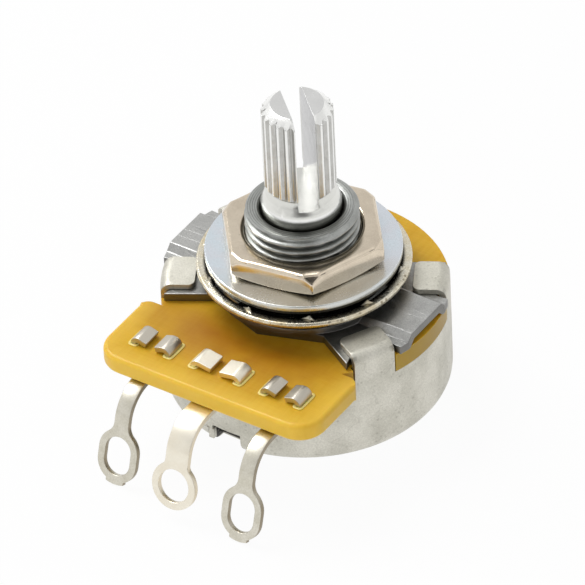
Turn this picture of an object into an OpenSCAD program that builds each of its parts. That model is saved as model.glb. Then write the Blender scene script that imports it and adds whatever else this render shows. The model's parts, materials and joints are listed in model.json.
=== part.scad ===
// Rotary potentiometer, 24 mm, for panel mounting: threaded bushing, split knurled
// shaft, laminate element board and three solder lugs.
// The origin is on the shaft's axis at the mounting face, which is the top of the
// bushing's shoulder. Z points up the shaft, -Y to the solder lugs. Millimetres.

/* [Bushing] */
// Major diameter of the bushing's thread
thread_d = 9.525; // [8.6:0.025:10.5]
// Height of the bushing above the mounting face
bushing_h = 6.35; // [5.6:0.05:9.5]
// Diameter of the shoulder that the panel hardware seats on
shoulder_d = 14.4; // [13:0.1:16]
// Thickness of the shoulder above the mounting plate
shoulder_t = 0.8; // [0.5:0.05:1.5]
// Chamfer round the top of the thread
rim_chamfer = 0.45; // [0.2:0.05:0.7]

/* [Shaft] */
// Diameter of the plain shaft in the bushing
shaft_d = 6.7; // [6:0.05:7]
// Height of the shaft's end above the mounting face
shaft_h = 16.85; // [14:0.05:22]
// Diameter over the crests of the knurl
knurl_d = 6.0; // [5.4:0.05:6]
// Number of teeth in the knurl
knurl_teeth = 24; // [18:1:36]
// Depth of the grooves between the teeth
knurl_depth = 0.26; // [0.1:0.02:0.4]
// Height of the plain collar left above the bushing
collar_h = 0.65; // [0.4:0.05:2]
// Height of the cone between the collar and the knurl
cone_h = 1.75; // [0.6:0.05:2]
// Width of the slot that splits the knurled end
slot_w = 1.75; // [1:0.05:2]
// Depth of the slot
slot_depth = 9.0; // [6:0.1:9.4]
// Direction of the slot, counted from the terminal row
slot_angle = -43; // [-90:1:90]
// Width of the chamfer at the shaft's end
tip_chamfer = 0.8; // [0.3:0.05:1.2]
// Height of that chamfer
tip_chamfer_h = 0.7; // [0.3:0.05:1.4]

/* [Panel hardware] */
// Width across the flats of the nut
nut_flats = 12.7; // [12:0.1:14]
// Thickness of the nut
nut_t = 2.1; // [1.6:0.1:2.6]
// Width of the countersink at the mouth of the nut's thread
nut_mouth = 0.3; // [0.2:0.05:0.6]
// Direction of one corner of the nut
nut_angle = -51; // [-60:1:0]
// Outer diameter of the flat washer
flat_d = 16.4; // [15:0.1:18]
// Thickness of the flat washer
flat_t = 0.8; // [0.5:0.05:1.2]
// Outer diameter of the toothed lock washer
lock_d = 17.9; // [17:0.1:20]
// Width of its plain rim
lock_rim = 0.95; // [0.6:0.05:1.5]
// Thickness of its sheet
lock_t = 0.55; // [0.4:0.05:0.7]
// Number of its teeth
lock_teeth = 10; // [8:1:12]
// Width of a tooth
tooth_w = 2.0; // [1.4:0.1:2.4]
// Twist of a tooth out of the washer's plane
tooth_twist = 25; // [15:1:30]

/* [Mounting plate] */
// Thickness of the plate's sheet
plate_t = 0.8; // [0.6:0.05:1.2]
// Distance that the wings' ends stop short of the cover's outside
wing_inset = 0.1; // [0.05:0.05:0.5]
// Half the width of the raised ridge
ridge_half = 2.25; // [1.8:0.05:3]
// Height of the ridge over the flanges
ridge_rise = 0.58; // [0.3:0.02:0.8]

/* [Element board] */
// Thickness of the laminate
board_t = 1.7; // [1.2:0.05:2.2]
// Half the width of the board at the terminals
board_half = 10.6; // [10:0.1:12]
// Distance from the axis to the board's front edge
board_front = 15.9; // [15.4:0.1:18]
// Corner radius at the board's front
board_corner = 2.4; // [1:0.1:3]
// Thickness of the printed carbon and silver
film_t = 0.1; // [0.05:0.01:0.15]
// Mean radius of the carbon track
track_r = 9.2; // [8.8:0.1:9.4]
// Width of the carbon track
track_w = 2.0; // [1.4:0.1:2.2]

/* [Rear cover] */
// Outer diameter of the drawn cover
cover_d = 24; // [23.6:0.1:25]
// Thickness of its sheet
cover_t = 0.5; // [0.4:0.05:0.7]
// Depth from the mounting face to the cover's back
body_depth = 11.4; // [11:0.1:14]
// Radius of the cover's bottom corner
cover_corner = 1.3; // [0.9:0.1:1.8]
// Width of the four fold-over tabs
tab_w = 3.75; // [3:0.05:4.2]
// Direction of the tabs, counted from the terminal row
tab_angle = 28.5; // [26:0.5:31]
// Distance from the axis to the tabs' ends
tab_end = 9.0; // [8.4:0.1:9.6]

/* [Terminals] */
// Spacing of the three terminals
pitch = 6.35; // [6:0.05:6.6]
// Thickness of the terminal sheet
lug_t = 0.5; // [0.4:0.05:0.6]
// Bend radius of the lugs at the middle of the sheet
lug_bend = 3; // [2.4:0.1:3.6]
// Angle that the lugs are bent down by
lug_angle = 73; // [60:1:85]
// Distance from the board's front edge out to where the centre lug starts to bend
centre_lug_out = 0.45; // [0.2:0.05:0.8]
// Distance from the board's front edge in to where the left lug starts to bend
left_lug_in = 0.85; // [0.3:0.05:1.2]
// Distance from the board's front edge in to where the right lug starts to bend
right_lug_in = 0.05; // [0.05:0.05:0.6]
// Straight length from the bend to the eyelet's centre, left lug
left_reach = 3.35; // [3.2:0.05:5]
// Straight length from the bend to the eyelet's centre, centre lug
centre_reach = 3.0; // [2.9:0.05:5]
// Straight length from the bend to the eyelet's centre, right lug
right_reach = 3.4; // [3.2:0.05:5]
// Width of the outer lugs' stems
outer_stem_w = 1.4; // [1.2:0.1:2]
// Width of the centre lug's stem
centre_stem_w = 2.2; // [1.6:0.1:2.6]
// Width of the hole in the outer eyelets
outer_hole_w = 2.45; // [2:0.05:2.8]
// Length of that hole
outer_hole_l = 3.45; // [2.9:0.05:3.6]
// Diameter of the hole in the centre eyelet
centre_hole_d = 2.9; // [2.2:0.1:3]
// Width of the metal round each hole
eyelet_w = 0.65; // [0.6:0.05:0.9]
// Width of the prongs along the board
prong_w = 1.9; // [1.4:0.1:2.2]

/* [Drive] */
// Radial running clearance of the shaft in the bushing
shaft_play = 0.04; // [0.02:0.01:0.08]
// Gap between the sprung fingers and what they wipe
wipe_gap = 0.12; // [0.08:0.01:0.2]
// Direction of the stop lug in the cover
stop_angle = -92; // [-96:1:-88]
// Angle that the stop lobe of the rotor takes up
lobe_angle = 50; // [40:1:52]
// Thickness of the contact spring
spring_t = 0.3; // [0.2:0.05:0.4]

/* [Hidden] */
$fn = 96;
far = 40;                                  // longer than anything that is cut
seat_gap = 0.02;                           // air between pieces that seat face to face

// Heights from the mounting face down
ridge_z = -shoulder_t;                     // top of the plate's ridge
flange_z = ridge_z - ridge_rise;           // top of the plate's flanges
board_z = flange_z - plate_t;              // top of the board
board_bottom = board_z - board_t;
cover_bottom = -body_depth;
cover_floor = cover_bottom + cover_t;

// Heights from the mounting face up
lock_h = tooth_w * sin(tooth_twist) + lock_t * cos(tooth_twist);
flat_z = lock_h + seat_gap;
nut_z = flat_z + flat_t + seat_gap;
collar_z = bushing_h + collar_h;
knurl_z = collar_z + cone_h;
slot_z = shaft_h - slot_depth;
knurl_foot = 0.4;                          // chamfer at the knurl's lower end

// Radii
thread_r = thread_d / 2;
shaft_r = shaft_d / 2;
bore_r = shaft_r + shaft_play;
knurl_r = knurl_d / 2;
cover_r = cover_d / 2;
plate_half = cover_r - wing_inset;         // half the length of the plate, wing to wing
washer_hole_r = thread_r + 0.15;
nut_bore_r = thread_r + 0.03;
boss_r = shoulder_d / 2 + 0.3;             // the plate's boss under the shoulder

// Below the plate: the bushing's staked hub, and the ring that holds the shaft in
hub_r = 5.6;
stake_r = hub_r + 0.7;
stake_t = 0.45;
hub_end = board_z - 0.7;
tail_r = hub_r - 0.4;
board_hole_r = tail_r + 0.3;
ring_gap = 0.05;
ring_t = 0.5;
ring_mouth = 2.2;                          // opening of the retaining ring
ring_r = tail_r - 0.5;
ring_z = hub_end - ring_gap - ring_t;
groove_r = shaft_r - 0.8;

// Contact parts inside
collector_in = board_hole_r + 0.3;
collector_out = collector_in + 1.4;
collector_r = (collector_in + collector_out) / 2;
rotor_gap = 0.3;
rotor_bottom = cover_floor + rotor_gap;
spring_room = 2.4;                         // from the board down to the rotor's top
rotor_top = board_bottom - spring_room;
disc_r = track_r;                          // the rotor's base disc
disc_t = 1.6;
post_r = 4.6;                              // its post
head_r = track_r + 0.6;                    // the disc that carries the contact spring
head_t = 1.2;
lobe_r = cover_r - cover_t - 0.75;
lobe_root = 1.2;                           // depth to which the lobe is rooted in the disc
drive_r = 2.6;                             // the shaft's drive end, with two flats
drive_flat = 2.05;
finger_l = 6;                              // length and width of the outer finger
finger_w = 1;
arm_w = 2.2;                               // the arm that it springs from
arm_lap = 0.8;                             // length over which the finger is joined to it
arm_root = 1;                              // depth to which it is rooted in the collector ring
track_from = -50;                          // one end of the carbon track
pad_sweep = 17;                            // angle of printed silver past each end

tab_bend = 0.4;                            // inside radius of the tabs' bends

// The window in the cover's corner, and the stop lug bent in at its left end, whose
// places are counted from the direction of the stop
window_w = 2.8;
window_h = 2.0;
stop_z = cover_bottom + 0.5;
stop_h = window_h - 0.95;
lug_turn = 180;
lug_len = 2.15;
lug_root = [cover_r - cover_t / 2, 0.1 - window_w / 2];
lug_mid = lug_root + lug_len / 2 * [cos(lug_turn), sin(lug_turn)]
    + cover_t / 2 * [-sin(lug_turn), cos(lug_turn)];
lobe_at = stop_angle + 180 + atan2(lug_mid[1], lug_mid[0]);

// Half widths over each terminal's prongs, and the length and slope of their folded leaves
outer_prong = 1.95;
centre_prong = 2.45;
outer_leaf = 0.7;
centre_leaf = 1.25;
outer_droop = 18;
centre_droop = 10;
leaf_z = board_z + 0.08;                   // underside of the leaves' bend
prong_y = -12.65;
slot_play = 0.1;
foot_y = -track_r - 0.4;                   // inner end of the outer terminals
left_start = left_lug_in - board_front;    // where the lugs leave the board's plane
centre_start = -board_front - centre_lug_out;
right_start = right_lug_in - board_front;
tongue_rear = 8.15;                        // rear edge of the board's tongue, from the axis
tongue_rear_corner = 1.0;
nub_w = 1.7;                               // the nub at the outer lugs' tips
nub_rise = 0.2;

// The rim is lower where the terminals pass
relief_half = pitch + outer_prong + 0.7;
relief_h = lug_t + film_t + 0.5;

// A ring of the given radii between two angles, as a flat outline
module sector(r_in, r_out, from, to) {
    steps = 12;
    intersection() {
        difference() {
            circle(r = r_out);
            circle(r = r_in);
        }
        polygon(concat([[0, 0]],
            [for (i = [0 : steps])
                let (a = from + (to - from) * i / steps) 2 * r_out * [cos(a), sin(a)]]));
    }
}

// A flat rectangle with round corners, centred
module round_rect(w, l, r) {
    square([w - 2 * r, l], center = true);
    square([w, l - 2 * r], center = true);
    for (x = [-1, 1], y = [-1, 1])
        translate([x * (w / 2 - r), y * (l / 2 - r)]) circle(r = r);
}

// Half of a drawn cup's outline, from the axis out, with a round bottom corner
module cup_half(r, bottom, top, corner) {
    steps = 6;
    polygon(concat([[0, top], [0, bottom]],
        [for (i = [0 : steps])
            let (a = 90 * i / steps) [r - corner * (1 - sin(a)), bottom + corner * (1 - cos(a))]],
        [[r, top]]));
}

// The section of a fold-over tab: up the wall, a round bend, and in over the plate
module tab_section() {
    top = flange_z + seat_gap + cover_t;
    translate([cover_r - cover_t, board_bottom - 1])
        square([cover_t, top - tab_bend - cover_t - board_bottom + 1]);
    translate([cover_r - cover_t - tab_bend, top - cover_t - tab_bend]) intersection() {
        difference() {
            circle(r = tab_bend + cover_t);
            circle(r = tab_bend);
        }
        square(tab_bend + cover_t);
    }
    translate([tab_end - 1, top - cover_t])
        square([cover_r - cover_t - tab_bend - tab_end + 1, cover_t]);
}

// The plan of a tab, whose inner corners are round
module tab_plan() {
    reach = cover_r + 1 - tab_end;
    translate([tab_end + reach / 2, 0]) round_rect(reach, tab_w, 0.6);
    translate([cover_r - 1, -tab_w / 2]) square([2, tab_w]);
}

module at_tabs() {
    for (a = [tab_angle, 180 - tab_angle, 180 + tab_angle, -tab_angle])
        rotate([0, 0, a]) children();
}

module rear_cover() {
    color([0.80, 0.79, 0.76]) union() {
        difference() {
            rotate_extrude() difference() {
                cup_half(cover_r, cover_bottom, board_bottom, cover_corner);
                cup_half(cover_r - cover_t, cover_floor, board_bottom + 1,
                         cover_corner - cover_t);
            }
            translate([-relief_half, -far / 2, board_bottom - relief_h])
                cube([2 * relief_half, far / 2, far]);
            // the window that the stop lug was lanced from
            rotate([0, 0, stop_angle]) translate([cover_r - 1.6, -window_w / 2, cover_bottom - 1])
                cube([far, window_w, 1 + window_h]);
        }
        at_tabs() intersection() {
            rotate_extrude() tab_section();
            translate([0, 0, board_bottom]) linear_extrude(far) tab_plan();
        }
        // the stop lug: a flap of the wall bent in at the window's left end
        rotate([0, 0, stop_angle]) translate([lug_root[0], lug_root[1], stop_z])
            rotate([0, 0, lug_turn]) translate([-0.15, 0, 0])
                cube([lug_len + 0.15, cover_t, stop_h]);
    }
}

// Section of the plate across its ridge, with the sheet's thickness kept in the slopes
module plate_section() {
    k = plate_t * tan(22.5);
    foot = ridge_half + ridge_rise;
    polygon([[-far, flange_z], [-foot, flange_z], [-ridge_half, ridge_z],
             [ridge_half, ridge_z], [foot, flange_z], [far, flange_z],
             [far, board_z], [foot - k, board_z], [ridge_half - k, ridge_z - plate_t],
             [k - ridge_half, ridge_z - plate_t], [k - foot, board_z], [-far, board_z]]);
}

// Half of the butterfly outline, right wing, front half
module wing_outline() {
    seat = cover_r - cover_t - tab_bend + 0.1; // stays inside the tabs' folds
    a = tab_angle + 12;
    waist = (boss_r + 0.3) * [cos(46), -sin(46)];
    polygon([[0, 0], [plate_half, 0], [plate_half, -ridge_half - 0.5],
             [plate_half - 0.25, -ridge_half - 1.4],
             seat * [cos(tab_angle - 10), -sin(tab_angle - 10)],
             seat * [cos(tab_angle + 9.5), -sin(tab_angle + 9.5)],
             (cover_r - 0.2) * [cos(a), -sin(a)],
             waist, [0, 0.1 - boss_r]]);
}

module mounting_plate() {
    color([0.66, 0.66, 0.67]) difference() {
        union() {
            intersection() {
                rotate([90, 0, 90]) linear_extrude(far, center = true) plate_section();
                translate([0, 0, -far / 2]) linear_extrude(far)
                    for (x = [0, 1], y = [0, 1])
                        mirror([x, 0, 0]) mirror([0, y, 0]) wing_outline();
            }
            // the round boss under the shoulder is level with the ridge
            translate([0, 0, ridge_z - plate_t]) cylinder(h = plate_t, r = boss_r);
        }
        translate([0, 0, -far / 2]) cylinder(h = far, r = hub_r + seat_gap);
        // room for the staked edge
        translate([0, 0, board_z - 1])
            cylinder(h = ridge_z - plate_t - board_z + 1, r = stake_r + 0.1);
    }
}

module bushing() {
    mouth = 0.28;
    color([0.68, 0.69, 0.68]) rotate_extrude() difference() {
        union() {
            square([thread_r, bushing_h - rim_chamfer]);
            polygon([[0, bushing_h - rim_chamfer], [thread_r, bushing_h - rim_chamfer],
                     [thread_r - rim_chamfer, bushing_h], [0, bushing_h]]);
            translate([0, ridge_z]) square([shoulder_d / 2, shoulder_t]);
            translate([0, ridge_z - plate_t]) square([hub_r, plate_t]);
            translate([0, ridge_z - plate_t - stake_t]) square([stake_r, stake_t]);
            translate([0, hub_end]) square([tail_r, ridge_z - plate_t - stake_t - hub_end]);
        }
        translate([-1, hub_end - 1]) square([bore_r + 1, far]);
        polygon([[0, bushing_h + 0.01], [bore_r + mouth + 0.01, bushing_h + 0.01],
                 [bore_r, bushing_h - mouth], [0, bushing_h - mouth]]);
    }
}

// Outline of the knurl: each tooth has a narrow crest and a narrower groove bottom
module knurl_outline() {
    step = 360 / knurl_teeth;
    polygon([for (i = [0 : knurl_teeth - 1], k = [[-0.1, 0], [0.1, 0], [0.44, 1], [0.56, 1]])
        let (a = (i + k[0]) * step, r = knurl_r - k[1] * knurl_depth) r * [cos(a), sin(a)]]);
}

module shaft() {
    cone_top = knurl_r - knurl_depth - 0.08; // just inside the knurl's grooves
    foot_z = knurl_z - 0.25;                 // the knurl starts a little down the cone
    color([0.82, 0.82, 0.82]) difference() {
        union() {
            // plain part, groove and cone
            rotate_extrude() {
                translate([0, ring_z + ring_t + ring_gap])
                    square([shaft_r, collar_z - ring_z - ring_t - ring_gap]);
                translate([0, ring_z - ring_gap]) square([groove_r, ring_t + 2 * ring_gap]);
                translate([0, rotor_top]) square([shaft_r, ring_z - ring_gap - rotor_top]);
                polygon([[0, collar_z], [shaft_r, collar_z],
                         [cone_top, knurl_z], [0, knurl_z]]);
            }
            // drive end with two flats, peened under the rotor
            intersection() {
                translate([0, 0, rotor_bottom + 0.1])
                    cylinder(h = rotor_top - rotor_bottom - 0.1, r = drive_r);
                translate([-drive_flat, -far / 2, -far]) cube([2 * drive_flat, far, 2 * far]);
            }
            // knurl, cut by the end chamfer and by a small chamfer over the cone
            intersection() {
                translate([0, 0, collar_z]) linear_extrude(shaft_h - collar_z) knurl_outline();
                rotate_extrude() polygon([[0, foot_z], [knurl_r + 0.01 - knurl_foot, foot_z],
                    [knurl_r + 0.01, foot_z + knurl_foot],
                    [knurl_r + 0.01, shaft_h - tip_chamfer_h], [knurl_r - tip_chamfer, shaft_h],
                    [0, shaft_h]]);
            }
        }
        rotate([0, 0, slot_angle]) translate([-far / 2, -slot_w / 2, slot_z])
            cube([far, slot_w, far]);
    }
}

// An open ring that snaps into the shaft's groove
module retaining_ring() {
    color([0.45, 0.45, 0.47]) translate([0, 0, ring_z]) linear_extrude(ring_t) difference() {
        circle(r = ring_r);
        circle(r = groove_r + seat_gap);
        translate([0, -ring_mouth / 2]) square([far, ring_mouth]);
    }
}

module prong_slots(half, play) {
    for (x = [-1, 1])
        translate([x * (half - lug_t / 2), prong_y])
            square([lug_t + 2 * play, prong_w + 2 * play], center = true);
}

module element_board() {
    color([0.88, 0.68, 0.22]) translate([0, 0, board_bottom]) linear_extrude(board_t) difference() {
        union() {
            circle(r = cover_r);
            // the tongue that carries the terminals, with rounder corners in front
            for (c = [[board_corner, 1], [tongue_rear_corner, 0]]) intersection() {
                translate([0, -(board_front + tongue_rear) / 2])
                    round_rect(2 * board_half, board_front - tongue_rear, c[0]);
                translate([-far / 2, prong_y - c[1] * far]) square(far);
            }
        }
        circle(r = board_hole_r);
        // notches for the cover's tabs
        at_tabs() translate([cover_r - cover_t - 0.25, -tab_w / 2 - 0.1]) square([2, tab_w + 0.2]);
        for (i = [-1, 1]) translate([i * pitch, 0]) prong_slots(outer_prong, slot_play);
        prong_slots(centre_prong, slot_play);
    }
}

module resistive_track() {
    color([0.12, 0.12, 0.13]) translate([0, 0, board_bottom - film_t]) linear_extrude(film_t)
        sector(track_r - track_w / 2, track_r + track_w / 2, track_from, 180 - track_from);
}

// Printed silver from the track's end out under the foot of the terminal
module end_pad() {
    pad_half = outer_prong + 0.1;
    pad_front = prong_y - prong_w / 2 - 0.7;
    translate([0, 0, board_bottom - film_t]) linear_extrude(film_t) difference() {
        union() {
            sector(track_r - track_w / 2, track_r + track_w / 2, track_from - pad_sweep,
                   track_from - 0.1);
            translate([pitch - pad_half, pad_front]) square([2 * pad_half, -track_r - pad_front]);
        }
        sector(0, far, track_from - 0.1, track_from + 60);
        translate([pitch, 0]) prong_slots(outer_prong, slot_play);
    }
}
module end_pad_right() color([0.85, 0.85, 0.84]) end_pad();
module end_pad_left() color([0.85, 0.85, 0.84]) mirror([1, 0, 0]) end_pad();

// One prong: up through the board, and clinched in over it with a drooping leaf
module prong(half, leaf, droop, top) {
    steps = 6;
    inner = 0.2;
    centre = [half - lug_t - inner, leaf_z];
    arc = [for (i = [0 : steps])
        let (a = (90 + droop) * i / steps) [cos(a), sin(a)]];
    outside = [for (p = arc) centre + (inner + lug_t) * p];
    inside = [for (i = [steps : -1 : 0]) centre + inner * arc[i]];
    over = leaf * [-cos(droop), -sin(droop)];
    translate([0, prong_y, 0]) rotate([90, 0, 0]) linear_extrude(prong_w, center = true)
        polygon(concat([[half, top - lug_t]], outside, [outside[steps] + over, inside[0] + over],
                       inside, [[half - lug_t, top - lug_t]]));
}

// A lug's side view: the foot under the board, the bend, and the straight blade
module lug_side(foot, top, start) {
    steps = 18;
    centre = [start, top - lug_t / 2 - lug_bend];
    down = 20 * [-cos(lug_angle), -sin(lug_angle)];
    arc = [for (i = [0 : steps])
        let (a = 90 + lug_angle * i / steps) [cos(a), sin(a)]];
    outer = [for (p = arc) centre + (lug_bend + lug_t / 2) * p];
    inner = [for (i = [steps : -1 : 0]) centre + (lug_bend - lug_t / 2) * arc[i]];
    polygon(concat([[foot, top]], outer, [outer[steps] + down, inner[0] + down], inner,
                   [[foot, top - lug_t]]));
}

// Where the blade's face view starts, at the end of the bend, with +Y running down it
module at_bend_end(top, start) {
    translate([0, start - lug_bend * sin(lug_angle),
               top - lug_t / 2 - lug_bend * (1 - cos(lug_angle))])
        rotate([lug_angle, 0, 0]) mirror([0, 1, 0]) children();
}

// A lug is its side view cut to its face view, which is the children
module lug(foot, top, start) {
    intersection() {
        rotate([90, 0, 90]) linear_extrude(2 * pitch, center = true)
            lug_side(foot, top, start);
        at_bend_end(top, start) linear_extrude(far, center = true) children();
    }
}

// Rounds the inside corners where a stem of half width w meets a round eyelet
module neck(w, r, f, y) {
    rise = sqrt(pow(r + f, 2) - pow(w + f, 2));
    for (s = [-1, 1]) difference() {
        polygon([[0, y], [s * (w + f) * r / (r + f), y - rise * r / (r + f)],
                 [s * (w + f), y - rise], [0, y - rise]]);
        translate([s * (w + f), y - rise]) circle(r = f);
    }
}

// Face view of an outer lug: an oval eyelet with a low nub at its tip
module outer_face(reach) {
    r = outer_hole_w / 2 + eyelet_w;
    half = (outer_hole_l - outer_hole_w) / 2;
    difference() {
        union() {
            translate([-outer_stem_w / 2, -far / 2]) square([outer_stem_w, far / 2 + reach]);
            for (y = [-half, half]) translate([0, reach + y]) circle(r = r);
            translate([-r, reach - half]) square([2 * r, 2 * half]);
            neck(outer_stem_w / 2, r, 1.2, reach - half);
            translate([0, reach]) intersection() {
                translate([-nub_w / 2, 0]) square([nub_w, far]);
                circle(r = half + r + nub_rise);
            }
        }
        for (y = [-half, half]) translate([0, reach + y]) circle(d = outer_hole_w);
        translate([-outer_hole_w / 2, reach - half]) square([outer_hole_w, 2 * half]);
    }
}

// Face view of the centre lug: a round eyelet
module centre_face() {
    r = centre_hole_d / 2 + eyelet_w;
    difference() {
        union() {
            translate([-centre_stem_w / 2, -far / 2])
                square([centre_stem_w, far / 2 + centre_reach]);
            translate([0, centre_reach]) circle(r = r);
            neck(centre_stem_w / 2, r, 0.6, centre_reach);
        }
        translate([0, centre_reach]) circle(d = centre_hole_d);
    }
}

module outer_terminal(start, reach) {
    top = board_bottom - film_t;
    translate([-outer_prong, prong_y - prong_w / 2, top - lug_t])
        cube([2 * outer_prong, prong_w, lug_t]);
    for (x = [0, 1])
        mirror([x, 0, 0]) prong(outer_prong, outer_leaf, outer_droop, top);
    lug(foot_y, top, start) outer_face(reach);
}
module terminal_left()
    color([0.78, 0.75, 0.69]) translate([-pitch, 0, 0]) outer_terminal(left_start, left_reach);
module terminal_right()
    color([0.78, 0.75, 0.69]) translate([pitch, 0, 0]) outer_terminal(right_start, right_reach);

// The centre terminal is one stamping with the collector ring that the wiper runs on
module terminal_centre() {
    top = board_bottom - seat_gap;
    color([0.92, 0.90, 0.84]) union() {
        translate([0, 0, top - lug_t]) linear_extrude(lug_t) {
            difference() {
                circle(r = collector_out);
                circle(r = collector_in);
            }
            translate([-centre_prong, prong_y - prong_w / 2]) square([2 * centre_prong, prong_w]);
        }
        for (x = [0, 1])
            mirror([x, 0, 0]) prong(centre_prong, centre_leaf, centre_droop, top);
        lug(-collector_r, top, centre_start) centre_face();
    }
}

module rotor() {
    color([0.16, 0.15, 0.14]) difference() {
        union() {
            rotate_extrude() {
                translate([0, rotor_bottom]) square([disc_r, disc_t]);
                translate([0, rotor_bottom]) square([post_r, rotor_top - rotor_bottom]);
                translate([0, rotor_top - head_t]) square([head_r, head_t]);
            }
            // the lobe that meets the cover's stop lug
            translate([0, 0, rotor_bottom]) linear_extrude(disc_t)
                sector(disc_r - lobe_root, lobe_r, lobe_at - lobe_angle / 2, lobe_at + lobe_angle / 2);
        }
        translate([0, 0, rotor_bottom - 1]) intersection() {
            cylinder(h = far, r = drive_r + seat_gap);
            translate([-drive_flat - seat_gap, -far / 2, 0])
                cube([2 * (drive_flat + seat_gap), far, far]);
        }
    }
}

// A sprung finger that rises from the spring's base to a contact at the given radius
module finger(r, w, length, top) {
    base = rotor_top + seat_gap;
    rise = top - base - spring_t;
    lean = atan(rise / length);
    translate([-length / 2, r - w / 2, base]) {
        rotate([0, -lean, 0]) cube([length / cos(lean), w, spring_t]);
    }
}

module wiper_spring() {
    base = rotor_top + seat_gap;
    track_top = board_bottom - film_t - wipe_gap;
    ring_top = board_bottom - seat_gap - lug_t - wipe_gap;
    color([0.80, 0.66, 0.40]) union() {
        translate([0, 0, base]) linear_extrude(spring_t) {
            difference() {
                circle(r = collector_out);
                circle(r = shaft_r + 0.2);
            }
            translate([arm_lap - finger_l / 2 - arm_w, collector_r - arm_root])
                square([arm_w, track_r + finger_w - collector_r + arm_root]);
        }
        finger(track_r, finger_w, finger_l, track_top);
        finger(collector_r, finger_w, finger_l - 1, ring_top);
    }
}

// Internal teeth, each twisted about its own radius
module lock_washer() {
    r_out = lock_d / 2;
    r_in = r_out - lock_rim;
    tooth_in = washer_hole_r + 0.1;
    color([0.84, 0.82, 0.74]) translate([0, 0, lock_h / 2]) union() {
        linear_extrude(lock_t, center = true) difference() {
            circle(r = r_out);
            circle(r = r_in);
        }
        for (i = [0 : lock_teeth - 1])
            rotate([0, 0, -23 + 360 * i / lock_teeth]) rotate([tooth_twist, 0, 0])
                linear_extrude(lock_t, center = true)
                    polygon([[tooth_in, -tooth_w * 0.36], [r_in + 0.35, -tooth_w / 2],
                             [r_in + 0.35, tooth_w / 2], [tooth_in, tooth_w * 0.36]]);
    }
}

module flat_washer() {
    color([0.80, 0.82, 0.86]) translate([0, 0, flat_z]) linear_extrude(flat_t) difference() {
        circle(d = flat_d);
        circle(r = washer_hole_r);
    }
}

module hex_nut() {
    corner_r = nut_flats / 2 / cos(30);
    bevel = (corner_r - nut_flats / 2) * tan(30);
    color([0.80, 0.75, 0.68]) translate([0, 0, nut_z]) difference() {
        intersection() {
            rotate([0, 0, nut_angle]) cylinder(h = nut_t, r = corner_r, $fn = 6);
            rotate_extrude() polygon([[0, 0], [corner_r + 0.1, 0],
                [corner_r + 0.1, nut_t - bevel - 0.05],
                [nut_flats / 2 - 0.1, nut_t], [0, nut_t]]);
        }
        translate([0, 0, -1]) cylinder(h = far, r = nut_bore_r);
        translate([0, 0, nut_t - nut_mouth])
            cylinder(h = nut_mouth + 0.001, r1 = nut_bore_r, r2 = nut_bore_r + nut_mouth);
    }
}

rear_cover();
mounting_plate();
bushing();
shaft();
retaining_ring();
element_board();
resistive_track();
end_pad_left();
end_pad_right();
terminal_left();
terminal_centre();
terminal_right();
rotor();
wiper_spring();
lock_washer();
flat_washer();
hex_nut();
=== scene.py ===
import json
import math

import bmesh
import bpy
import numpy as np
from mathutils import Matrix, Vector

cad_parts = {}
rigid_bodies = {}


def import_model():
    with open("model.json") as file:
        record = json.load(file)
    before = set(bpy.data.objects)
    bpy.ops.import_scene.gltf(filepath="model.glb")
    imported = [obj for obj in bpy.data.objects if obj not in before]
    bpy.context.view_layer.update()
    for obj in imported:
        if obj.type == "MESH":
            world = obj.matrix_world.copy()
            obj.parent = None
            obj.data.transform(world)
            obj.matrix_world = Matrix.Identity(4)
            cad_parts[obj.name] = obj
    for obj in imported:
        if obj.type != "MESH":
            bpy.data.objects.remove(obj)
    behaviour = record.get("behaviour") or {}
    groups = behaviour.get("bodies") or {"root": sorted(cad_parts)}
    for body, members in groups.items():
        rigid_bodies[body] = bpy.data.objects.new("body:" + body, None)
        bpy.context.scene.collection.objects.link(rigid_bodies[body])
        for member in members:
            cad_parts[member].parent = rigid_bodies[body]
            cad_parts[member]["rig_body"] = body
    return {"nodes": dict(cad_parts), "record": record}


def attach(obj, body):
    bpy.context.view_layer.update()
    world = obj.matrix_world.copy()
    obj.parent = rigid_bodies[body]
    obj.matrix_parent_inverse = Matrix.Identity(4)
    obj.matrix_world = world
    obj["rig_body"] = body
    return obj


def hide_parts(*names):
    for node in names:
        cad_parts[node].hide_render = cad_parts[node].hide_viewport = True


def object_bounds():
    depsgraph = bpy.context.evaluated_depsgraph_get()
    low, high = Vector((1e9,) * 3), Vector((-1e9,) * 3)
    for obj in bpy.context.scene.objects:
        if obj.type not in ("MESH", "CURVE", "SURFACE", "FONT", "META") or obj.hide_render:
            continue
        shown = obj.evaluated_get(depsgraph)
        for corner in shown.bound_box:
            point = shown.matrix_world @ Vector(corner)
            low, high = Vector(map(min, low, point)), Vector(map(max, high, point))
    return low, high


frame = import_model()
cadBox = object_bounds()
nodes = frame["nodes"]
slotOf = {row["node"]: row["material_slot"] for row in frame["record"]["subparts"]}
mm = 0.001  # metres in a millimetre
print("frame loaded:", len(nodes), "nodes")


class Wire:
    # an output socket; +, - and * add Math nodes
    def __init__(self, tree, socket):
        self.tree = tree
        self.socket = socket

    def math(self, operation, first, second):
        return self.tree.add("Math", {"operation": operation}, i0=first, i1=second)

    def __add__(self, other):
        return self.math("ADD", self, other)

    def __radd__(self, other):
        return self.math("ADD", other, self)

    def __sub__(self, other):
        return self.math("SUBTRACT", self, other)

    def __rsub__(self, other):
        return self.math("SUBTRACT", other, self)

    def __mul__(self, other):
        return self.math("MULTIPLY", self, other)


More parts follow.
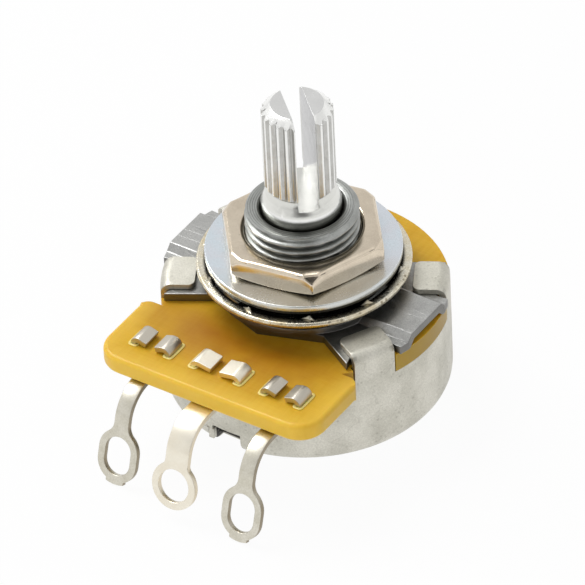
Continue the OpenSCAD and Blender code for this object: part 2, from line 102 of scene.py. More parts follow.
class Tree:
    # a node tree, one method that adds any node to it, and short forms for common nodes
    def __init__(self, nodeTree):
        self.nodes = nodeTree.nodes
        self.links = nodeTree.links
        self.nodes.clear()

    def add(self, kind, settings=None, out=0, **sockets):
        # sockets go by name, with _ for a space, or by place as i0, i1 and so on
        node = self.nodes.new("ShaderNode" + kind)
        for key, value in (settings or {}).items():
            if key == "stops":
                ramp = node.color_ramp
                while len(ramp.elements) < len(value):
                    ramp.elements.new(0.5)
                for element, (position, colour) in zip(ramp.elements, value):
                    element.position = position
                    element.color = (*colour, 1)
            else:
                setattr(node, key, value)
        for key, value in sockets.items():
            isNumber = key[0] == "i" and key[1:].isdigit()
            socket = node.inputs[int(key[1:]) if isNumber else key.replace("_", " ")]
            if isinstance(value, Wire):
                self.links.new(value.socket, socket)
            else:
                socket.default_value = value
        return Wire(self, node.outputs[out]) if len(node.outputs) else None

    def ramp(self, value, low, high, start=0.0, end=1.0):
        return self.add("MapRange", {"clamp": True}, i0=value, i1=low, i2=high, i3=start, i4=end)

    def mix(self, factor, first, second):
        a, b = [c if isinstance(c, Wire) else (*c, 1) for c in (first, second)]
        return self.add("Mix", {"data_type": "RGBA"}, out=2, i0=factor, i6=a, i7=b)

    def place(self, stretch=(1, 1, 1), turn=0.0):
        # object coordinates in millimetres, stretched along the axes
        spot = self.add("TexCoord", out="Object")
        scale = [1 / (mm * s) for s in stretch]
        return self.add("Mapping", Vector=spot, Rotation=(0, 0, turn), Scale=scale)

    def noise(self, place, size, detail=3.0, rough=0.55):
        return self.add("TexNoise", Vector=place, Scale=1 / size, Detail=detail,
                        Roughness=rough)

    def axis(self, letter, output="Object"):
        # one part of the object coordinate, or of the surface's direction
        return self.add("SeparateXYZ", out=letter, Vector=self.add("TexCoord", out=output))

    def fromAxis(self):
        # distance from the object's Z axis
        x, y = self.axis("X"), self.axis("Y")
        return self.add("Math", {"operation": "SQRT"}, i0=x * x + y * y)

    def size(self, value):
        return self.add("Math", {"operation": "ABSOLUTE"}, i0=value)

    def larger(self, first, second):
        return self.add("Math", {"operation": "MAXIMUM"}, i0=first, i1=second)

    def along(self, vector, way):
        return self.add("VectorMath", {"operation": "DOT_PRODUCT"}, out="Value",
                        i0=vector, i1=way)


def newFinish(name):
    # an empty material and its node tree
    material = bpy.data.materials.new(name)
    material.use_nodes = True
    return material, Tree(material.node_tree)


def surface(tree, **sockets):
    # the one physically based shader of a material, with its sockets by name
    tree.add("OutputMaterial", Surface=tree.add("BsdfPrincipled", **sockets))


plating = {"cloudDetail": 4, "cloudBand": (0.36, 0.66), "grainDetail": 4, "grainRough": 0.65,
           "speckleBand": (0.30, 0.72), "speckle": 0.25, "markDepth": 0.6}


def platedMetal(name, look):
    # clouds of tarnish vary the colour, a fine grain varies roughness and height, and zones,
    # mostly of painted shade and painted highlights, and dark marks lie over them
    p = plating
    material, tree = newFinish(name)
    even = tree.place()
    drawn = tree.place(look.get("stretch", (1, 1, 1)))
    clouds = tree.noise(even, look["cloudSize"], p["cloudDetail"])
    grain = tree.noise(drawn, look["grainSize"], p["grainDetail"], p["grainRough"])
    colour = tree.mix(tree.ramp(clouds, *p["cloudBand"]), look["colour"], look["shade"])
    speckle = tree.ramp(grain, *p["speckleBand"]) * look.get("speckle", p["speckle"])
    colour = tree.mix(speckle, colour, look["dark"])
    height = grain
    for zone in look.get("zones", ()):
        mask, tint = zone(tree, clouds)
        colour = tree.mix(mask, colour, tint)
    for mark in look.get("marks", ()):
        mask, strength = mark(tree)
        colour = tree.mix(mask * strength, colour, look["dark"])
        height = height - mask * p["markDepth"]
    roughness = look["rough"] + (clouds - 0.5) * look["spread"] + (grain - 0.5) * look["spread"]
    bump = tree.add("Bump", Strength=look["bump"], Distance=look["depth"] * mm, Height=height)
    surface(tree, Base_Color=colour, Roughness=roughness, Metallic=1.0, Normal=bump)
    return material


# A zone gives a mask and the colour laid on there. Lengths are in millimetres.
def byRadius(none, full, tint, most):
    # grows from one distance from the axis to another
    def zone(tree, clouds):
        return tree.ramp(tree.fromAxis(), none * mm, full * mm, 0, most), tint
    return zone


def byHeight(none, full, tint, most):
    # grows from one height above the mounting face to another
    def zone(tree, clouds):
        return tree.ramp(tree.axis("Z"), none * mm, full * mm, 0, most), tint
    return zone


def upwardHighlight(none, full, tint, most, lean=(0.15, 0.25)):
    # a painted highlight that grows from one height to another, but only on surfaces that lean
    # upwards
    def zone(tree, clouds):
        upwards = tree.ramp(tree.axis("Z", "Normal"), *lean)
        return upwards * tree.ramp(tree.axis("Z"), none * mm, full * mm, 0, most), tint
    return zone


def shadedSides(none, full, tint, most):
    # painted shade on walls that face along X, such as a stamping's cut edges
    def zone(tree, clouds):
        return tree.ramp(tree.size(tree.axis("X", "Normal")), none, full, 0, most), tint
    return zone


def shadedUprights(none, full, tint, most):
    # painted shade on upright walls, such as the sheared edges of a plate
    def zone(tree, clouds):
        return tree.ramp(tree.size(tree.axis("Z", "Normal")), none, full, 0, most), tint
    return zone


def shadedInsideWall(wall, low, high, tint, most, fades=(0.08, 0.1, 0.3)):
    # painted shade on a round wall's inner side between two heights, where little light comes
    def zone(tree, clouds):
        side, foot, head = fades
        mask = tree.ramp(tree.fromAxis(), (wall + side) * mm, wall * mm, 0, most)
        mask = mask * tree.ramp(tree.axis("Z"), low * mm, (low + foot) * mm)
        return mask * tree.ramp(tree.axis("Z"), high * mm, (high - head) * mm), tint
    return zone


def shadedGrooves(none, full, end, tint, most, fade=0.15):
    # painted shade in a thread's grooves: inside a radius and below the end chamfer
    def zone(tree, clouds):
        inside = tree.ramp(tree.fromAxis(), none * mm, full * mm, 0, most)
        return inside * tree.ramp(tree.axis("Z"), end * mm, (end - fade) * mm), tint
    return zone


def sideShade(way, none, full, tint, most, ragged=4):
    # painted shade on one side of the axis, with a ragged border
    def zone(tree, clouds):
        spot = tree.add("TexCoord", out="Object")
        reach = tree.along(spot, way) + (clouds - 0.5) * ragged * mm
        return tree.ramp(reach, none * mm, full * mm, 0, most), tint
    return zone


# A mark gives a mask and the strength of the dark colour there.
def rings(pitch, low, strength, band=(0.2, 0.9), fade=0.05):
    # fine turned lines round the axis above a height: a sine of the radius over the pitch
    def mark(tree):
        turn = tree.fromAxis() * (2 * math.pi / (pitch * mm))
        lines = tree.ramp(tree.add("Math", {"operation": "SINE"}, i0=turn), *band)
        return lines * tree.ramp(tree.axis("Z"), low * mm, (low + fade) * mm), strength
    return mark


def pits(size, share, strength, patches=5, band=(0.45, 0.62), core=0.4):
    # small dark pits where a fine cell pattern and a coarse noise agree
    def mark(tree):
        cells = tree.add("TexVoronoi", Vector=tree.place(), Scale=1 / size, Randomness=1.0)
        patch = tree.ramp(tree.noise(tree.place(), size * patches, detail=2), *band)
        return tree.ramp(cells, share, share * core) * patch, strength
    return mark


def scratches(size, turn, strength, stretch=(14, 1, 1), thin=0.006):
    # long thin lines where a stretched noise crosses its middle
    def mark(tree):
        field = tree.noise(tree.place(stretch, turn), size, detail=1, rough=0.4)
        return tree.ramp(tree.size(field - 0.5), thin, 0.0), strength
    return mark


finishes = {
    "cover_steel": platedMetal("coverSteel", {
        "colour": (0.74, 0.72, 0.64), "shade": (0.60, 0.585, 0.51), "dark": (0.33, 0.315, 0.27),
        "cloudSize": 2.6, "grainSize": 0.15, "speckle": 0.42, "rough": 0.44, "spread": 0.16,
        "bump": 0.6, "depth": 0.02, "marks": (pits(0.5, 0.30, 0.5), scratches(3.0, 0.7, 0.25)),
        # near black painted shade on the can's inner wall
        "zones": (shadedInsideWall(11.52, -11.3, -3.9, (0.03, 0.028, 0.025), 0.97),)}),
    "plate_steel": platedMetal("plateSteel", {
        "colour": (0.54, 0.54, 0.52), "shade": (0.43, 0.43, 0.415), "dark": (0.14, 0.14, 0.14),
        "cloudSize": 1.3, "grainSize": 0.13, "speckle": 0.52, "rough": 0.36, "spread": 0.22,
        "bump": 0.6, "depth": 0.025, "marks": (scratches(2.0, 0.9, 0.5), scratches(1.6, 2.2, 0.4)),
        # painted shade on the plate under the washers
        "zones": (byRadius(9.4, 7.6, (0.10, 0.10, 0.10), 0.75),
                  # painted shade on the plate's upright walls
                  shadedUprights(0.6, 0.3, (0.17, 0.165, 0.155), 0.85))}),
    "bushing_zinc": platedMetal("bushingZinc", {
        "colour": (0.50, 0.51, 0.49), "shade": (0.40, 0.41, 0.39), "dark": (0.13, 0.135, 0.13),
        "cloudSize": 1.4, "grainSize": 0.12, "speckle": 0.5, "rough": 0.32, "spread": 0.16,
        "bump": 0.5, "depth": 0.014, "stretch": (1, 1, 0.35), "marks": (rings(0.2, 6.2, 0.7),),
        # painted shade in the thread's grooves
        "zones": (shadedGrooves(4.64, 4.44, 5.95, (0.10, 0.105, 0.10), 0.85),
                  # near black painted shade in the bore
                  byRadius(3.66, 3.5, (0.015, 0.015, 0.013), 0.97))}),
    "shaft_alloy": platedMetal("shaftAlloy", {
        "colour": (0.60, 0.60, 0.585), "shade": (0.52, 0.515, 0.495), "dark": (0.30, 0.29, 0.26),
        "cloudSize": 1.2, "grainSize": 0.12, "speckle": 0.34, "rough": 0.24, "spread": 0.14,
        "bump": 0.5, "depth": 0.014, "stretch": (1, 1, 4),
        # a painted highlight along the knurl's crests
        "zones": (byRadius(2.94, 2.985, (0.93, 0.93, 0.91), 0.9),
                  byRadius(2.62, 2.45, (0.46, 0.46, 0.465), 0.85),
                  # painted highlights on the cone and on the tip's chamfer, where they lean
                  # upwards
                  upwardHighlight(8.85, 8.7, (0.74, 0.74, 0.70), 0.9),
                  upwardHighlight(16.1, 16.2, (0.92, 0.92, 0.90), 1.0),
                  # the top face takes a paler grey in place of the painted highlight
                  byHeight(16.80, 16.84, (0.74, 0.74, 0.73), 1.0),
                  # painted shade on the collar's foot by the bore
                  byHeight(7.02, 6.92, (0.24, 0.24, 0.215), 0.85))}),
    "ring_steel": platedMetal("ringSteel", {
        "colour": (0.40, 0.40, 0.42), "shade": (0.32, 0.32, 0.34), "dark": (0.15, 0.15, 0.16),
        "cloudSize": 1.2, "grainSize": 0.12, "rough": 0.35, "spread": 0.15, "bump": 0.3,
        "depth": 0.01}),
    "tinned_brass": platedMetal("tinnedBrass", {
        "colour": (0.76, 0.73, 0.64), "shade": (0.67, 0.64, 0.54), "dark": (0.36, 0.33, 0.25),
        "cloudSize": 1.0, "grainSize": 0.16, "speckle": 0.32, "rough": 0.36, "spread": 0.2,
        "bump": 0.5, "depth": 0.018,
        # painted shade on the lugs' cut edges
        "zones": (shadedSides(0.45, 0.95, (0.22, 0.17, 0.10), 0.8),
                  byHeight(-2.6, -2.1, (0.54, 0.50, 0.43), 0.9))}),
    "silvered_brass": platedMetal("silveredBrass", {
        "colour": (0.92, 0.87, 0.75), "shade": (0.88, 0.82, 0.69), "dark": (0.62, 0.56, 0.44),
        "cloudSize": 1.2, "grainSize": 0.2, "speckle": 0.12, "rough": 0.38, "spread": 0.14,
        # painted shade on the lug's cut edges
        "bump": 0.4, "depth": 0.014, "zones": (shadedSides(0.6, 1.0, (0.62, 0.52, 0.36), 0.6),)}),
    "spring_bronze": platedMetal("springBronze", {
        "colour": (0.72, 0.52, 0.26), "shade": (0.62, 0.44, 0.22), "dark": (0.30, 0.20, 0.10),
        "cloudSize": 1.5, "grainSize": 0.15, "rough": 0.3, "spread": 0.15, "bump": 0.3,
        "depth": 0.01}),
    "silver_film": platedMetal("silverFilm", {
        "colour": (0.80, 0.80, 0.78), "shade": (0.70, 0.70, 0.68), "dark": (0.45, 0.45, 0.44),
        "cloudSize": 1.5, "grainSize": 0.1, "rough": 0.55, "spread": 0.15, "bump": 0.4,
        "depth": 0.01}),
    "lock_zinc": platedMetal("lockZinc", {
        "colour": (0.86, 0.82, 0.70), "shade": (0.74, 0.64, 0.44), "dark": (0.24, 0.20, 0.13),
        "cloudSize": 1.6, "grainSize": 0.2, "speckle": 0.38, "rough": 0.28, "spread": 0.2,
        "bump": 0.7, "depth": 0.025, "marks": (pits(0.55, 0.34, 0.8),),
        # near black painted shade on the teeth under the flat washer
        "zones": (byRadius(8.42, 8.2, (0.03, 0.03, 0.028), 0.95),)}),
    "washer_zinc": platedMetal("washerZinc", {
        "colour": (0.76, 0.84, 0.90), "shade": (0.76, 0.77, 0.82), "dark": (0.30, 0.34, 0.36),
        "cloudSize": 2.2, "grainSize": 0.18, "speckle": 0.22, "rough": 0.25, "spread": 0.14,
        "bump": 0.4, "depth": 0.012,
        # painted shade: greyer and darker on the side towards the camera
        "zones": (sideShade((0.571, -0.821, 0), 2.0, 6.5, (0.66, 0.665, 0.63), 0.9),
                  # near black painted shade on the rim's lower part
                  byHeight(1.72, 1.62, (0.02, 0.02, 0.018), 0.97))}),
    "nut_nickel": platedMetal("nutNickel", {
        "colour": (0.80, 0.70, 0.56), "shade": (0.71, 0.615, 0.49), "dark": (0.26, 0.22, 0.17),
        "cloudSize": 1.8, "grainSize": 0.12, "speckle": 0.18, "rough": 0.17, "spread": 0.08,
        "bump": 0.3, "depth": 0.008, "marks": (pits(0.9, 0.12, 0.7),)}),
}


# bands of length run in millimetres from none to full
board = {"cloudSize": 3.2, "cloudBand": (0.35, 0.68), "light": (0.72, 0.42, 0.018),
         "deep": (0.64, 0.35, 0.010), "fibreSize": 0.5, "fibreStretch": (6, 0.5),
         "fibreBand": (0.8, 1.25), "fibreMost": 0.22, "fibre": (0.88, 0.60, 0.08),
         # painted shade by the plate, a painted highlight on the tongue's outline, painted shade
         # on the wall
         "tongue": (-5, -9), "paintedShadeFrom": (15.5, 9.5), "paintedShadeMost": (0.55, 0.6),
         "paintedShade": (0.40, 0.15, 0.003), "sideHighlight": (8.6, 10.6), "frontHighlight": (-14.0, -15.9),
         "highlightMost": 0.6, "rim": (0.88, 0.60, 0.085), "wallShadeBand": (0.6, 0.3), "wallShadeMost": 0.75,
         "wall": (0.36, 0.24, 0.035), "lipBand": (-2.16, -2.11), "lip": (0.93, 0.72, 0.24),
         "rough": 0.36, "spread": 0.2, "bump": 0.25, "depth": 0.01, "gloss": 0.3, "bend": 1.5,
         "inner": 0.25, "innerShare": (1.0, 0.45, 0.08), "innerReach": 0.8}


def laminate(b):
    # waxy amber board: broad clouds, faint fibres both ways and a slight inner glow, with
    # brown painted shade by the plate, a painted highlight along the tongue's outline, brown
    # painted shade on the wall round the rest and paler lips about the slots
    material, tree = newFinish("amberLaminate")
    long, short = b["fibreStretch"]
    clouds = tree.noise(tree.place(), b["cloudSize"])
    fibres = (tree.noise(tree.place((long, short, 1)), b["fibreSize"])
              + tree.noise(tree.place((short, long, 1)), b["fibreSize"]))

    def between(value, band):
        return tree.ramp(value, *(end * mm for end in band))

    colour = tree.mix(tree.ramp(clouds, *b["cloudBand"]), b["light"], b["deep"])
    colour = tree.mix(tree.ramp(fibres, *b["fibreBand"]) * b["fibreMost"], colour, b["fibre"])
    tongue = between(tree.axis("Y"), b["tongue"])
    # brown painted shade on the tongue near the plate and washers
    base, cloudy = b["paintedShadeMost"]
    paintedShade = between(tree.fromAxis(), b["paintedShadeFrom"]) * tongue * (base + clouds * cloudy)
    colour = tree.mix(paintedShade, colour, b["paintedShade"])
    # a painted highlight along the tongue's outline
    rim = tree.larger(between(tree.size(tree.axis("X")), b["sideHighlight"]),
                      between(tree.axis("Y"), b["frontHighlight"]))
    colour = tree.mix(rim * tongue * b["highlightMost"], colour, b["rim"])
    # brown painted shade on the board's wall beyond the tongue
    wall = tree.ramp(tree.size(tree.axis("Z", "Normal")), *b["wallShadeBand"])
    colour = tree.mix(wall * (1 - tongue) * b["wallShadeMost"], colour, b["wall"])
    colour = tree.mix(between(tree.axis("Z"), b["lipBand"]), colour, b["lip"])
    roughness = b["rough"] + (clouds - 0.5) * b["spread"]
    bump = tree.add("Bump", Strength=b["bump"], Distance=b["depth"] * mm, Height=fibres)
    surface(tree, Base_Color=colour, Roughness=roughness, Normal=bump, IOR=b["bend"],
            Specular_IOR_Level=b["gloss"], Subsurface_Weight=b["inner"],
            Subsurface_Radius=b["innerShare"], Subsurface_Scale=b["innerReach"] * mm)
    return material


plastic = {"cloudSize": 1.6, "bump": 0.4, "depth": 0.01, "rough": 0.45, "spread": 0.3}


def dullPlastic(name, colour, shade, grainSize):
    # clouds between two dark tones, with a fine grain in roughness and height
    p = plastic
    material, tree = newFinish(name)
    clouds = tree.noise(tree.place(), p["cloudSize"])
    grain = tree.noise(tree.place(), grainSize)
    bump = tree.add("Bump", Strength=p["bump"], Distance=p["depth"] * mm, Height=grain)
    surface(tree, Base_Color=tree.mix(clouds, colour, shade), Normal=bump,
            Roughness=p["rough"] + (grain - 0.5) * p["spread"])
    return material


finishes["laminate"] = laminate(board)
finishes["carbon_film"] = dullPlastic("carbonFilm", (0.025, 0.025, 0.028),
                                      (0.05, 0.05, 0.055), 0.08)
finishes["rotor_plastic"] = dullPlastic("rotorPlastic", (0.05, 0.045, 0.04),
                                        (0.09, 0.08, 0.07), 0.12)

for node, slotName in slotOf.items():
    nodes[node].data.materials.clear()
    nodes[node].data.materials.append(finishes[slotName])
print("finishes made:", len(finishes))


def addPiece(name, mesh, body, slotName, *replaced):
    # a visible piece that rides a body, has a slot's finish and stands for the nodes replaced
    piece = bpy.data.objects.new(name, mesh)
    bpy.context.scene.collection.objects.link(piece)
    mesh.materials.clear()
    mesh.materials.append(finishes[slotName])
    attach(piece, body)
    if replaced:
        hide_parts(*replaced)
    return piece


def addRound(piece, width, angle, segments, weights=False):
    # a bevel at the sharp or the weighted edges, then normals that follow the large faces
    bevel = piece.modifiers.new("edgeRound", "BEVEL")
    bevel.width = width * mm
    bevel.segments = segments
    bevel.limit_method = "WEIGHT" if weights else "ANGLE"
    bevel.angle_limit = math.radians(angle)
    bevel.use_clamp_overlap = False
    piece.data.shade_smooth()
    if not weights:
        weighted = piece.modifiers.new("evenShade", "WEIGHTED_NORMAL")
        weighted.keep_sharp = True


# the tongue's wide round and outline in millimetres
boardEdge = {"round": 0.42, "segments": 5, "half": 10.6, "front": 15.9, "corner": 2.4,
             "root": -8.4, "near": 0.05, "level": 0.01}


def tongueOutline(pairs, b):
    # level edges whose two ends both lie on the tongue's outline, past its root: on a side,
    # on the front, or on a corner's arc about its centre
    x, y, z = np.abs(pairs[..., 0]), pairs[..., 1], pairs[..., 2]
    centreX, centreY = b["half"] - b["corner"], b["corner"] - b["front"]
    onArc = np.hypot(x - centreX, y - centreY) > b["corner"] - b["near"]
    onCorner = onArc & (x > centreX) & (y < centreY)
    onLine = (x > b["half"] - b["near"]) | (y < b["near"] - b["front"]) | onCorner
    isLevel = np.abs(z[:, 0] - z[:, 1]) < b["level"]
    return np.all(onLine & (y < b["root"]), axis=1) & isLevel


def weighOutline(mesh, b):
    # a full bevel weight on the edges of the tongue's outline
    spots = np.empty(len(mesh.vertices) * 3)
    mesh.vertices.foreach_get("co", spots)
    ends = np.empty(len(mesh.edges) * 2, int)
    mesh.edges.foreach_get("vertices", ends)
    pairs = spots.reshape(-1, 3)[ends.reshape(-1, 2)] / mm
    weight = mesh.attributes.new("bevel_weight_edge", "FLOAT", "EDGE")
    weight.data.foreach_set("value", tongueOutline(pairs, b).astype(float))


# merge distance in metres; flat joints and rounded edges by their angles in degrees
softening = {"merge": 2e-6, "flat": 0.6, "angle": 28, "segments": 2}


def softened(node, name, width):
    # a merged copy of a node whose sharp edges get a small round; the board's tongue gets a
    # wide round first
    s = softening
    shape = bmesh.new()
    shape.from_mesh(nodes[node].data)
    bmesh.ops.remove_doubles(shape, verts=shape.verts, dist=s["merge"])
    bmesh.ops.dissolve_limit(shape, angle_limit=math.radians(s["flat"]), verts=shape.verts,
                             edges=shape.edges)
    mesh = bpy.data.meshes.new(name)
    shape.to_mesh(mesh)
    shape.free()
    piece = addPiece(name, mesh, nodes[node]["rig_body"], slotOf[node], node)
    if node == "element_board":
        weighOutline(mesh, boardEdge)
        addRound(piece, boardEdge["round"], s["angle"], boardEdge["segments"], weights=True)
    addRound(piece, width, s["angle"], s["segments"])


def gridMesh(name, points):
    # quads over a rows x columns grid of points, joined round both ways
    rowCount, columnCount = points.shape[:2]
    here = np.arange(rowCount * columnCount).reshape(rowCount, columnCount)
    down = np.roll(here, -1, 0)
    quads = np.stack([here, np.roll(here, -1, 1), np.roll(down, -1, 1), down], -1)
    mesh = bpy.data.meshes.new(name)
    mesh.from_pydata(points.reshape(-1, 3).tolist(), [], quads.reshape(-1, 4).tolist())
    mesh.update()
    return mesh


def pointOutwards(mesh):
    # turns every face of a closed mesh outwards
    shape = bmesh.new()
    shape.from_mesh(mesh)
    bmesh.ops.recalc_face_normals(shape, faces=shape.faces)
    shape.to_mesh(mesh)
    shape.free()


bushing = {"major": 4.7625, "pitch": 0.794, "depth": 0.43, "top": 6.35, "chamfer": 0.3,
           "bore": 3.39, "mouth": 0.28, "mouthDepth": 0.28, "turns": 192, "step": 0.045,
           "start": 0.175, "crestShare": 0.14, "flankShare": 0.62, "runOut": 0.5,
           "tail": ((5.2, -2.88), (5.2, -2.05), (6.25, -2.05), (6.3, -2.0), (6.3, -1.6),
                    (5.6, -1.6), (5.6, -0.8), (7.1, -0.8), (7.2, -0.7), (7.2, -0.08),
                    (7.12, 0.0)),
           "lipWide": 0.05, "lipHigh": 0.03, "sharp": 38}


def makeBushing(b):
    # a closed profile turned about Z; on the thread the radius is the major radius less a
    # wave of the height over the pitch, shifted by one pitch a turn, under the end chamfer
    mouth = b["bore"] + b["mouth"]
    lower = np.array(((b["bore"], b["tail"][0][1]), *b["tail"]))
    heights = np.arange(0.0, b["top"], b["step"])
    thread = np.column_stack([np.full(len(heights), b["major"]), heights])
    upper = np.array([[mouth + b["lipWide"], b["top"]], [mouth, b["top"] - b["lipHigh"]],
                      [b["bore"], b["top"] - b["mouthDepth"]]])
    profile = np.vstack([lower, thread, upper])
    angle = np.linspace(0, 2 * np.pi, b["turns"], endpoint=False)
    radius = np.repeat(profile[:, :1], b["turns"], 1)
    height = np.repeat(profile[:, 1:], b["turns"], 1)
    rows = slice(len(lower), len(lower) + len(heights))
    z = height[rows]
    phase = (z / b["pitch"] - angle / (2 * np.pi) + b["start"]) % 1
    wave = np.clip((np.abs(2 * phase - 1) - b["crestShare"]) / b["flankShare"], 0, 1)
    wave = wave * wave * (3 - 2 * wave) * 0.5 + wave * 0.5  # half eased, half straight
    fade = np.clip(z / b["runOut"], 0, 1)
    cut = b["major"] - b["depth"] * wave * fade
    cone = b["major"] - np.clip(z - (b["top"] - b["chamfer"]), 0, None)
    radius[rows] = np.minimum(cut, cone)
    points = np.stack([radius * np.cos(angle), radius * np.sin(angle), height], -1) * mm
    mesh = gridMesh("threadedBushing", points)
    pointOutwards(mesh)
    mesh.shade_smooth()
    mesh.set_sharp_from_angle(angle=math.radians(b["sharp"]))
    addPiece("threadedBushing", mesh, "housing", "bushing_zinc", "bushing")


makeBushing(bushing)

nut = {"flat": 6.35, "corner": -51, "base": 2.184, "thick": 2.1, "bore": 4.7925,
       "mouth": 0.3, "edge": 0.22, "cornerStart": 6.98, "cornerSlope": 1.35, "footRim": 6.1,
       "footSlope": 0.34, "turns": 360, "round": 0.15, "roundAngle": 24, "roundSegments": 4}


def makeNut(n):
    # the outline's radius is half the width across flats over the cosine of the angle to the
    # nearest flat; an even chamfer breaks the top edge and drops further where the outline
    # passes the corner radius, and a cone from the foot rim ends on the outline below
    angle = np.linspace(0, 2 * np.pi, n["turns"], endpoint=False)
    toFlat = angle % (np.pi / 3) - np.pi / 6
    outline = n["flat"] / np.cos(toFlat)
    past = np.clip(outline - n["cornerStart"], 0, None)
    base, top = n["base"], n["base"] + n["thick"]
    rows = [(n["bore"], base), (n["footRim"], base),
            (outline, base + (outline - n["footRim"]) * n["footSlope"]),
            (outline, top - n["edge"] - past * n["cornerSlope"]),
            (outline - n["edge"] - past, top), (n["bore"] + n["mouth"], top),
            (n["bore"], top - n["mouth"])]
    turned = angle + math.radians(n["corner"])
    # 0 * angle gives the height as many values as there are angles
    points = np.array([np.stack([r * np.cos(turned), r * np.sin(turned), z + 0 * angle], -1)
                       for r, z in rows]) * mm
    mesh = gridMesh("hexNut", points)
    pointOutwards(mesh)
    piece = addPiece("hexNut", mesh, "housing", "nut_nickel", "hex_nut")
    addRound(piece, n["round"], n["roundAngle"], n["roundSegments"])


makeNut(nut)

# the softened copy of each node and the width of its rounds in millimetres
edges = {"rear_cover": ("canCover", 0.05), "mounting_plate": ("wingPlate", 0.07),
         "element_board": ("amberBoard", 0.06), "terminal_left": ("leftLug", 0.06),
         "terminal_centre": ("centreLug", 0.06), "terminal_right": ("rightLug", 0.06),
         "lock_washer": ("toothWasher", 0.18), "flat_washer": ("plainWasher", 0.09),
         "shaft": ("splitShaft", 0.03)}
for node, (name, width) in edges.items():
    softened(node, name, width)

slotLips = {"outer": 1.70, "centre": 2.20, "row": -12.65, "pitch": 6.35, "halfWidth": 0.36,
            "halfLength": 1.06, "square": 0.35, "wide": 0.15, "high": 0.1, "top": -2.18,
            "pathSteps": 56, "beadSteps": 10}


def makeLips(s):
    # a low round bead about each slot, carried along a rounded rectangle whose half width and
    # half length are scaled by a low power of the cosine and of the sine
    along = np.linspace(0, 2 * np.pi, s["pathSteps"], endpoint=False)
    c, n = np.cos(along), np.sin(along)
    path = np.column_stack([np.sign(c) * np.abs(c) ** s["square"] * s["halfWidth"],
                            np.sign(n) * np.abs(n) ** s["square"] * s["halfLength"]])
    tangent = np.roll(path, -1, 0) - np.roll(path, 1, 0)
    tangent /= np.linalg.norm(tangent, axis=1)[:, None]
    normal = np.column_stack([tangent[:, 1], -tangent[:, 0]])
    around = np.linspace(0, 2 * np.pi, s["beadSteps"], endpoint=False)
    side = np.cos(around)[None, :, None] * s["wide"]
    lift = np.sin(around)[None, :] * s["high"]
    flat = path[:, None, :] + normal[:, None, :] * side
    bead = np.concatenate([flat, np.broadcast_to(lift, flat.shape[:2])[..., None]], -1)
    terminals = ((-s["pitch"], s["outer"]), (0, s["centre"]), (s["pitch"], s["outer"]))
    whole = bmesh.new()
    for x in (middle + sign * half for middle, half in terminals for sign in (-1, 1)):
        part = gridMesh("lip", (bead + np.array([x, s["row"], s["top"]])) * mm)
        whole.from_mesh(part)
        bpy.data.meshes.remove(part)
    bmesh.ops.recalc_face_normals(whole, faces=whole.faces)
    mesh = bpy.data.meshes.new("slotLips")
    whole.to_mesh(mesh)
    whole.free()
    mesh.shade_smooth()
    addPiece("slotLips", mesh, "housing", "laminate")


makeLips(slotLips)
print("pieces made")


def direction(azimuth, elevation):
    # a unit vector, by the angle from the front (-Y) towards +X and the angle above the level
    a, e = math.radians(azimuth), math.radians(elevation)
    return Vector((math.sin(a) * math.cos(e), -math.cos(a) * math.cos(e), math.sin(e)))


# the camera fitted to the photo: angles in degrees, lengths in millimetres, clip in metres
shot = {"azimuth": 34.778, "elevation": 38.884, "roll": -2.814, "distance": 651.788,
        "right": -1.205, "up": 2.139, "drop": 5.6953, "lens": 483.39, "sensor": 36,
        "clip": (0.02, 20)}


def placeCamera(s):
    # looks along the fitted direction, rolled about it and shifted across it
    back = direction(s["azimuth"], s["elevation"])
    right = (-back).cross(Vector((0, 0, 1))).normalized()
    up = right.cross(-back)
    r = math.radians(s["roll"])
    right, up = right * math.cos(r) + up * math.sin(r), up * math.cos(r) - right * math.sin(r)
    spot = right * s["right"] + up * s["up"] + back * s["distance"] - Vector((0, 0, s["drop"]))
    data = bpy.data.cameras.new("shotCamera")
    data.sensor_width = s["sensor"]
    data.lens = s["lens"]
    data.clip_start, data.clip_end = s["clip"]
    camera = bpy.data.objects.new("shotCamera", data)
    bpy.context.scene.collection.objects.link(camera)
    turn = Matrix((right, up, back)).transposed().to_4x4()
    camera.matrix_world = Matrix.Translation(spot * mm) @ turn
    bpy.context.scene.camera = camera


placeCamera(shot)

# the floor's half width in metres; lamps by azimuth and elevation in degrees, distance and
# size in metres, power in watts, and whether metal mirrors them
studio = {"sky": 0.43, "paper": (0.86, 0.86, 0.86), "glow": 0.95, "floorHalf": 6.0,
          "key": (264, 54, 0.45, 0.26, 1.4, True), "front": (12, 14, 0.5, 0.35, 0.8, False)}
# the tent that metal mirrors: grey levels from the lowest to the highest direction, then dark
# openings as azimuth, elevation, inner and outer half angle and level
tent = {"levels": ((0.0, 0.95), (0.5, 0.60), (0.56, 0.85), (0.66, 1.0), (0.76, 0.78),
                   (0.86, 0.74), (0.92, 0.97), (1.0, 0.9)),
        "openings": ((31, 81, 7.0, 12.0, 0.15), (37, 41, 11.0, 17.0, 0.04),
                     (35, 6, 14.0, 30.0, 0.12))}


def addLamp(name, azimuth, elevation, distance, size, power, mirrored):
    # a square lamp that faces the origin
    way = direction(azimuth, elevation)
    data = bpy.data.lights.new(name, "AREA")
    data.size = size
    data.energy = power
    lamp = bpy.data.objects.new(name, data)
    lamp.location = way * distance
    lamp.visible_glossy = mirrored
    lamp.rotation_mode = "QUATERNION"
    lamp.rotation_quaternion = way.to_track_quat("Z", "Y")
    bpy.context.scene.collection.objects.link(lamp)


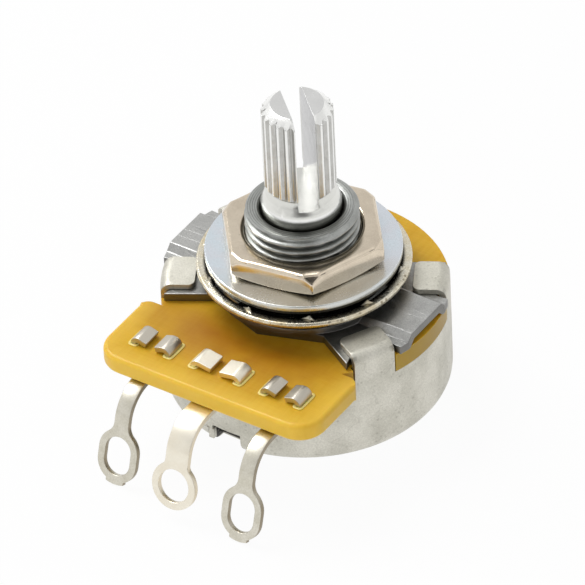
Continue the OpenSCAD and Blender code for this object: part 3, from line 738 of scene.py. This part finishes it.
def makeFloor(s):
    # a pale floor at the foot of the CAD, nearly white to the camera and to reflections
    half = s["floorHalf"]
    corners = [(-half, -half), (half, -half), (half, half), (-half, half)]
    mesh = bpy.data.meshes.new("paleFloor")
    mesh.from_pydata([(x, y, cadBox[0][2]) for x, y in corners], [], [(0, 1, 2, 3)])
    floor = bpy.data.objects.new("paleFloor", mesh)
    bpy.context.scene.collection.objects.link(floor)
    material, tree = newFinish("palePaper")
    camera, glossy, through = [tree.add("LightPath", out=k) for k in
                               ("Is Camera Ray", "Is Glossy Ray", "Is Transmission Ray")]
    seen = tree.larger(camera, tree.larger(glossy, through))
    paper = tree.add("BsdfDiffuse", Color=(*s["paper"], 1))
    glow = tree.add("Emission", Color=(1, 1, 1, 1), Strength=1.0)
    tree.add("OutputMaterial",
             Surface=tree.add("MixShader", i0=seen * s["glow"], i1=paper, i2=glow))
    mesh.materials.append(material)


def makeTent(s, t):
    # the world is white to the camera and an even grey as light; metal sees the tent
    world = bpy.data.worlds.new("softTent")
    bpy.context.scene.world = world
    world.use_nodes = True
    tree = Tree(world.node_tree)
    way = tree.add("TexCoord", out="Generated")
    height = tree.add("SeparateXYZ", out="Z", Vector=way) * 0.5 + 0.5  # 0 below, 1 overhead
    stops = [(position, (level,) * 3) for position, level in t["levels"]]
    walls = tree.add("ValToRGB", {"stops": stops}, Fac=height)
    for azimuth, elevation, inner, outer, level in t["openings"]:
        near = tree.along(way, direction(azimuth, elevation))
        low, high = (math.cos(math.radians(angle)) for angle in (outer, inner))
        walls = tree.mix(tree.ramp(near, low, high), walls, (level,) * 3)
    colour = tree.mix(tree.add("LightPath", out="Is Glossy Ray"), (s["sky"],) * 3, walls)
    colour = tree.mix(tree.add("LightPath", out="Is Camera Ray"), colour, (1, 1, 1))
    tree.add("OutputWorld", Surface=tree.add("Background", Color=colour, Strength=1.0))


makeFloor(studio)
makeTent(studio, tent)
addLamp("keyLamp", *studio["key"])
addLamp("frontLamp", *studio["front"])
bpy.context.scene.view_settings.view_transform = "Standard"
print("camera and studio ready")
